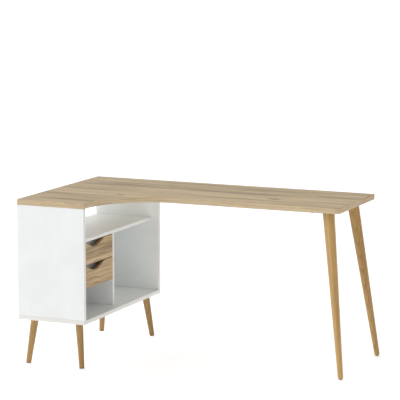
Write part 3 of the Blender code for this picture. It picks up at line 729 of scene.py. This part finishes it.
for leg_name, edge_y, outward in LONG_LEGS:
    ball, anchor = long_leg_line(edge_y, outward)
    axis = anchor - ball
    place = along(ball, axis)
    split = asin((LONG_LEG_FOOT_RADIUS - LONG_GLIDE_HEIGHT) / LONG_LEG_FOOT_RADIUS)
    wood_end = arc(0.0, 0.0, LONG_LEG_FOOT_RADIUS, -split, 0.0, 8)
    top_round = [(LONG_LEG_TOP_RADIUS - radius_in, axis.length - drop)
                 for radius_in, drop in LONG_LEG_TOP_ROUND]
    leg_number += 1
    # The leg's own painted shade level.
    shape = turned_shape(wood_end + top_round, place, start=NEXT_LEG_GRAIN * leg_number,
                         tone=LEG_PAINTED_SHADE[leg_name])
    piece(leg_name, shape, leg_wood, "desk_frame", (leg_name,))
    cap_split = asin((LONG_LEG_FOOT_RADIUS - LONG_GLIDE_HEIGHT + CLEARANCE)
                     / LONG_LEG_FOOT_RADIUS)
    cap = arc(0.0, 0.0, LONG_LEG_FOOT_RADIUS, -pi / 2 + POLE_GAP, -cap_split, 10)
    piece(leg_name + "_glide", turned_shape(cap, place), glide_nylon, "desk_frame",
          (leg_name + "_glide",))


# ---- leg plates -----------------------------------------------------------------------------
# Two plates pressed from 2.5 mm steel sheet and zinc plated, with a thick angled collar welded
# under each to take the long leg's bolt. Each is held up to the desktop by four screws.
PLATE_SIZE = 0.100
PLATE_THICKNESS = 0.0025
PLATE_CORNER_RADIUS = 0.010
PLATE_ROUND = 0.0004
COLLAR_RADIUS = 0.022
COLLAR_LENGTH = 0.030
COLLAR_ROUND = 0.0008

ZINC_LIGHT = "#c9c8c4"
ZINC_DARK = "#a3a29d"
ZINC_CLOUD_SCALE = 45.0

# Rolling lines are drawn 0.4 mm apart, several times their real spacing, so that they show.
ROLLING_LINES = (0.03, 0.0004)


def zinc_plated(name, roughness, axis, light=ZINC_LIGHT, dark=ZINC_DARK):
    """Zinc plating: clouded, with the steel's faint rolling lines along one axis."""
    made, tree, shader = new_material(name, roughness, metallic=1.0)
    place = object_place(tree)
    cloud = add(tree, "ShaderNodeTexNoise", {"Vector": place, "Scale": ZINC_CLOUD_SCALE,
                                             "Detail": 3.0})
    tone = add(tree, "ShaderNodeValToRGB", {"Fac": cloud.outputs["Fac"]},
               stops=[(0.35, dark), (0.65, light)])
    tree.links.new(tone.outputs[0], shader.inputs["Base Color"])
    rolled = add(tree, "ShaderNodeMapping", {"Vector": place,
                                             "Scale": grain(*ROLLING_LINES, axis)})
    lines = add(tree, "ShaderNodeTexNoise", {"Vector": rolled.outputs[0], "Scale": 1.0})
    gloss = add(tree, "ShaderNodeMapRange", {"Value": lines.outputs["Fac"],
                                             "To Min": roughness - 0.08,
                                             "To Max": roughness + 0.12})
    tree.links.new(gloss.outputs[0], shader.inputs["Roughness"])
    bump = add(tree, "ShaderNodeBump", {"Height": lines.outputs["Fac"], "Strength": 0.15,
                                        "Distance": 0.00005})
    tree.links.new(bump.outputs[0], shader.inputs["Normal"])
    return made


# Bright zinc over rolled sheet: a cool grey metal, cloudy and only half shiny.
zinc_sheet = zinc_plated("zinc_plated_sheet_steel", 0.36, "X")


def rounded_plate(outline, low, high, rounding):
    """A plate between two heights, with both its rims rounded."""
    lower = [(rounding * (1 - sin(a)), low + rounding * (1 - cos(a)))
             for a in (0.0, pi / 6, pi / 3, pi / 2)]
    upper = [(inset, low + high - height) for inset, height in reversed(lower)]
    return section_sweep(outline, lower + upper, flat, False)


plate_screw_places = []
for leg_name, edge_y, outward in LONG_LEGS:
    low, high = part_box(leg_name + "_screw_1")
    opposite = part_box(leg_name + "_screw_3")[1]
    middle = (low + opposite) / 2
    plate_top = top_low.z - CLEARANCE
    plate_outline = rectangle(middle.x - PLATE_SIZE / 2, middle.y - PLATE_SIZE / 2,
                              middle.x + PLATE_SIZE / 2, middle.y + PLATE_SIZE / 2,
                              PLATE_CORNER_RADIUS)
    plate = rounded_plate(plate_outline, plate_top - PLATE_THICKNESS, plate_top, PLATE_ROUND)
    piece(leg_name + "_plate", plate, zinc_sheet, "desk_frame",
          (leg_name + "_plate",))
    ball, anchor = long_leg_line(edge_y, outward)
    axis = (anchor - ball).normalized()
    collar = rounded_step(COLLAR_RADIUS, CLEARANCE, COLLAR_ROUND)
    collar.append((COLLAR_RADIUS, COLLAR_LENGTH))
    shape = turned_shape(collar, along(anchor, axis), plate_top - PLATE_THICKNESS / 2)
    piece(leg_name + "_plate_collar", shape, zinc_sheet, "desk_frame")
    for number in (1, 2, 3, 4):
        low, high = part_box(f"{leg_name}_screw_{number}")
        plate_screw_places.append((Vector(((low.x + high.x) / 2, (low.y + high.y) / 2, low.z)),
                                   Vector((0.0, 0.0, -1.0))))


# ---- screws ---------------------------------------------------------------------------------
# Cold-headed steel screws with pan heads and cross recesses, plated in black zinc, which leaves
# them dark with a soft sheen. Eight hold the leg plates up to the desktop.
SCREW_HEAD_HEIGHT = 0.0026
SCREW_HEAD_RADIUS = 0.0045
SCREW_SHANK_RADIUS = 0.0021
SCREW_SHANK_LENGTH = 0.014
SCREW_RECESS_WIDTH = 0.0010
HEAD_SIDES = 24
SHANK_SIDES = 16
DOME_POWER = 3.0
DOME_PULL = -0.42
RECESS_REACH = 1.05
RECESS_DEPTH = 1.1
BLACK_ZINC_LIGHT = "#4f4b46"
BLACK_ZINC_DARK = "#3a3733"

# Black zinc over bright steel: near black with a soft brownish sheen.
screw_zinc = zinc_plated("black_zinc_plated_screw_steel", 0.34, "Z", BLACK_ZINC_LIGHT,
                         BLACK_ZINC_DARK)

screw_tree = bpy.data.node_groups.new("pan_head_screw", "GeometryNodeTree")
for label, kind in (("Places", "Geometry"), ("Head Radius", "Float"), ("Head Height", "Float"),
                    ("Shank Radius", "Float"), ("Shank Length", "Float"),
                    ("Recess Width", "Float"), ("Finish", "Material")):
    screw_tree.interface.new_socket(label, in_out="INPUT", socket_type="NodeSocket" + kind)
screw_tree.interface.new_socket("Screws", in_out="OUTPUT", socket_type="NodeSocketGeometry")
given = add(screw_tree, "NodeGroupInput").outputs
head = add(screw_tree, "GeometryNodeMeshCone", {"Vertices": HEAD_SIDES, "Side Segments": 5,
                                                "Radius Top": given["Head Radius"],
                                                "Radius Bottom": given["Head Radius"],
                                                "Depth": given["Head Height"]})
spot = add(screw_tree, "GeometryNodeInputPosition").outputs[0]
spot_parts = add(screw_tree, "ShaderNodeSeparateXYZ", {0: spot})
rise = add(screw_tree, "ShaderNodeMath", {0: spot_parts.outputs[2], 1: given["Head Height"]},
           operation="DIVIDE")
lifted = add(screw_tree, "ShaderNodeMath", {0: rise.outputs[0], 1: DOME_POWER},
             operation="POWER")
narrowing = add(screw_tree, "ShaderNodeMath", {0: lifted.outputs[0], 1: DOME_PULL, 2: 1.0},
                operation="MULTIPLY_ADD")
squeeze = add(screw_tree, "ShaderNodeCombineXYZ", {0: narrowing.outputs[0],
                                                   1: narrowing.outputs[0], 2: 1.0})
domed_place = add(screw_tree, "ShaderNodeVectorMath", {0: spot, 1: squeeze.outputs[0]},
                  operation="MULTIPLY")
domed = add(screw_tree, "GeometryNodeSetPosition", {"Geometry": head.outputs["Mesh"],
                                                    "Position": domed_place.outputs[0]})
recess_long = add(screw_tree, "ShaderNodeMath", {0: given["Head Radius"], 1: RECESS_REACH},
                  operation="MULTIPLY")
recess_deep = add(screw_tree, "ShaderNodeMath", {0: given["Head Height"], 1: RECESS_DEPTH},
                  operation="MULTIPLY")
recess_spot = add(screw_tree, "ShaderNodeCombineXYZ", {2: given["Head Height"]})
bars = []
for across, lengthways in ((0, 1), (1, 0)):
    bar_size = add(screw_tree, "ShaderNodeCombineXYZ", {across: given["Recess Width"],
                                                        lengthways: recess_long.outputs[0],
                                                        2: recess_deep.outputs[0]})
    bar = add(screw_tree, "GeometryNodeMeshCube", {"Size": bar_size.outputs[0]})
    moved = add(screw_tree, "GeometryNodeTransform", {"Geometry": bar.outputs["Mesh"],
                                                      "Translation": recess_spot.outputs[0]})
    bars.append(moved.outputs[0])
cut = add(screw_tree, "GeometryNodeMeshBoolean", {"Mesh 1": domed.outputs[0], "Mesh 2": bars[0]},
          operation="DIFFERENCE")
cut_twice = add(screw_tree, "GeometryNodeMeshBoolean", {"Mesh 1": cut.outputs[0],
                                                        "Mesh 2": bars[1]},
                operation="DIFFERENCE")
shank = add(screw_tree, "GeometryNodeMeshCone", {"Vertices": SHANK_SIDES, "Side Segments": 3,
                                                 "Radius Top": given["Shank Radius"],
                                                 "Radius Bottom": given["Shank Radius"],
                                                 "Depth": given["Shank Length"]})
down = add(screw_tree, "ShaderNodeMath", {0: given["Shank Length"], 1: -1.0},
           operation="MULTIPLY")
shank_spot = add(screw_tree, "ShaderNodeCombineXYZ", {2: down.outputs[0]})
sunk = add(screw_tree, "GeometryNodeTransform", {"Geometry": shank.outputs["Mesh"],
                                                 "Translation": shank_spot.outputs[0]})
whole = add(screw_tree, "GeometryNodeJoinGeometry", {0: cut_twice.outputs[0]})
screw_tree.links.new(sunk.outputs[0], whole.inputs[0])
facing = add(screw_tree, "GeometryNodeInputNamedAttribute", {"Name": "facing"},
             data_type="FLOAT_VECTOR")
aimed = add(screw_tree, "FunctionNodeAlignRotationToVector", {"Vector": facing.outputs[0]})
placed = add(screw_tree, "GeometryNodeInstanceOnPoints", {"Points": given["Places"],
                                                          "Instance": whole.outputs[0],
                                                          "Rotation": aimed.outputs[0]})
real = add(screw_tree, "GeometryNodeRealizeInstances", {"Geometry": placed.outputs[0]})
finished = add(screw_tree, "GeometryNodeSetMaterial", {"Geometry": real.outputs[0],
                                                       "Material": given["Finish"]})
add(screw_tree, "NodeGroupOutput", {0: finished.outputs[0]})


def fitted(name, tree, places, sizes, finish, body, nodes=()):
    """Set one fixing at each (place, facing), as one plain mesh that rides on a body."""
    carrier_mesh = bpy.data.meshes.new(name + "_places")
    carrier_mesh.from_pydata([place for place, _ in places], [], [])
    directions = carrier_mesh.attributes.new("facing", "FLOAT_VECTOR", "POINT")
    for entry, (_, direction) in zip(directions.data, places):
        entry.vector = direction
    carrier = bpy.data.objects.new(name + "_places", carrier_mesh)
    bpy.context.scene.collection.objects.link(carrier)
    modifier = carrier.modifiers.new("fixings", "NODES")
    modifier.node_group = tree
    for item in tree.interface.items_tree:
        if item.in_out == "INPUT" and item.name in sizes:
            modifier[item.identifier] = sizes[item.name]
        if item.name == "Finish":
            modifier[item.identifier] = finish
    evaluated = carrier.evaluated_get(bpy.context.evaluated_depsgraph_get())
    shape = bmesh.new()
    shape.from_mesh(bpy.data.meshes.new_from_object(evaluated))
    bpy.data.objects.remove(carrier)
    for face in shape.faces:
        face.smooth = True
    return piece(name, shape, finish, body, nodes)


plate_screws = [(place + Vector((0.0, 0.0, SCREW_HEAD_HEIGHT)), facing_down)
                for place, facing_down in plate_screw_places]
plate_screw_nodes = [f"{leg_name}_screw_{number}" for leg_name, _, _ in LONG_LEGS
                     for number in (1, 2, 3, 4)]
fitted("wing_plate_screws", screw_tree, plate_screws,
       {"Head Radius": SCREW_HEAD_RADIUS, "Head Height": SCREW_HEAD_HEIGHT,
        "Shank Radius": SCREW_SHANK_RADIUS, "Shank Length": SCREW_SHANK_LENGTH,
        "Recess Width": SCREW_RECESS_WIDTH},
       screw_zinc, "desk_frame", plate_screw_nodes)


# ---- drawers --------------------------------------------------------------------------------
# Each drawer is a front of 16 mm oak-print chipboard with a finger cut-out sawn in its top
# edge, all its edges banded, and a box of 12 mm board wrapped in light grey foil behind it.
DRAWER_FRONT_BAND = 0.0008
DRAWER_FRONT_ROUND = 0.0005
GRIP_WIDTH = 0.220
GRIP_DEPTH = 0.0285
GRIP_FLAT = 0.014
GRIP_STEPS = 20

# The fronts' oak is printed lighter than the desktop's as painted light, lifting the shade the
# drawers stand in inside the cabinet.
FRONT_OAK_PAINTED_LIGHTER = ("#dfc5a1", "#ccb28a", "#a78f6b", "#7a6344")
FRONT_BAND_OAK = ("#cfb084", "#c3a478", "#9c7f58", "#9c7f58")
FRONT_FIRST_SHIFT = 4.0
FRONT_NEXT_SHIFT = 2.7
FRONT_PITH_IN = 0.012
FRONT_PITH_UP = 0.045
FOIL_LIGHT = "#e4e5e3"
FOIL_LOW = "#dcdddb"
FOIL_CLOUD_SCALE = 60.0

# Extruded and printed ABS, as on the desktop, in the fronts' own warmer tone.
drawer_band_oak = oak_print("drawer_oak_edge_band", band_place, FRONT_BAND_OAK,
                            ringing=RING_ON_BAND)


def facing_front(u, v, w):
    """An upright board across the cabinet: its outline in Y and Z, its thickness along X."""
    return Vector((w, u, v))


# Embossed foil wrapped round thin board: an even light grey, dull, faintly clouded and grained.
# Its grain is drawn 1.1 mm, about three times its real size, because a finer one would not show.
FOIL_GRAIN_SCALE = 900.0
foil, foil_tree, foil_shader = new_material("light_grey_wrapping_foil", 0.55, 0.35)
foil_place = object_place(foil_tree)
foil_cloud = add(foil_tree, "ShaderNodeTexNoise", {"Vector": foil_place,
                                                   "Scale": FOIL_CLOUD_SCALE, "Detail": 3.0})
foil_tone = add(foil_tree, "ShaderNodeValToRGB", {"Fac": foil_cloud.outputs["Fac"]},
                stops=[(0.35, FOIL_LOW), (0.65, FOIL_LIGHT)])
foil_tree.links.new(foil_tone.outputs[0], foil_shader.inputs["Base Color"])
foil_grit = add(foil_tree, "ShaderNodeTexNoise", {"Vector": foil_place,
                                                  "Scale": FOIL_GRAIN_SCALE, "Detail": 2.0})
foil_bump = add(foil_tree, "ShaderNodeBump", {"Height": foil_grit.outputs["Fac"],
                                              "Strength": 0.3, "Distance": 0.0001})
foil_tree.links.new(foil_bump.outputs[0], foil_shader.inputs["Normal"])

for order, drawer in enumerate(("upper_drawer", "lower_drawer")):
    low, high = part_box(drawer + "_front")
    middle_y = (low.y + high.y) / 2
    flank = (GRIP_WIDTH - GRIP_FLAT) / 2
    left_half = [(middle_y - GRIP_WIDTH / 2 + flank * step / GRIP_STEPS,
                  high.z - GRIP_DEPTH * (1.0 - cos(pi * step / GRIP_STEPS)) / 2)
                 for step in range(GRIP_STEPS + 1)]
    right_half = [(2 * middle_y - y, z) for y, z in reversed(left_half)]
    outline = rectangle(low.y, low.z, high.y, high.z, BOARD_CORNER)
    outline = outline[:4] + list(reversed(left_half + right_half)) + outline[4:]
    # Printed melamine paper, as on the desktop, with its grain level, in a warmer tone, and lighter
    # than the desktop's as painted light, to lift the shade the fronts stand in inside the cabinet.
    front_oak_painted_lighter = oak_print(drawer + "_oak_melamine", object_place, FRONT_OAK_PAINTED_LIGHTER, "Y",
                         FRONT_FIRST_SHIFT + FRONT_NEXT_SHIFT * order,
                         (low.x + FRONT_PITH_IN, 0.0, low.z + FRONT_PITH_UP))
    banded_board(drawer + "_front", outline, low.x, high.x, facing_front,
                 (front_oak_painted_lighter, drawer_band_oak), drawer, DRAWER_FRONT_BAND,
                 DRAWER_FRONT_ROUND)
    for part in ("back", "bottom", "near_side", "far_side", "inner_front"):
        refinish(f"{drawer}_{part}", foil)


# ---- runners and hidden fittings ------------------------------------------------------------
# The runners are roll-formed from zinc-plated strip and screwed on. The hanger bolts are
# zinc-plated steel, and the dowels are plain unfinished beech, glued into the desktop and the
# side panels.
DOWEL_LIGHT = "#dcb88f"
DOWEL_DARK = "#c29a72"
DOWEL_FIBRES = (0.02, 0.0008)

# Bright zinc over rolled strip, a little smoother than the sheet: cool grey, half shiny.
zinc_strip = zinc_plated("zinc_plated_strip_steel", 0.34, "X")
for drawer in ("upper_drawer", "lower_drawer"):
    for side in ("near", "far"):
        for member in ("rail", "slider"):
            refinish(f"{drawer}_{side}_{member}", zinc_strip)
for leg_name in LEG_PAINTED_SHADE:
    refinish(leg_name + "_bolt", zinc_strip)

# Raw beech: pale, dry and matt. Its fibres are drawn 0.8 mm wide, coarser than real, to show.
dowel_beech, beech_tree, beech_shader = new_material("raw_beech_dowel", 0.75, 0.2)
beech_grain = add(beech_tree, "ShaderNodeMapping", {"Vector": object_place(beech_tree),
                                                    "Scale": grain(*DOWEL_FIBRES, "Z")})
beech_fibres = add(beech_tree, "ShaderNodeTexNoise", {"Vector": beech_grain.outputs[0],
                                                      "Scale": 1.0, "Detail": 3.0})
beech_tone = add(beech_tree, "ShaderNodeValToRGB", {"Fac": beech_fibres.outputs["Fac"]},
                 stops=[(0.35, DOWEL_DARK), (0.65, DOWEL_LIGHT)])
beech_tree.links.new(beech_tone.outputs[0], beech_shader.inputs["Base Color"])
for side in ("near", "far"):
    for end in ("back", "front"):
        refinish(f"{side}_{end}_dowel", dowel_beech)
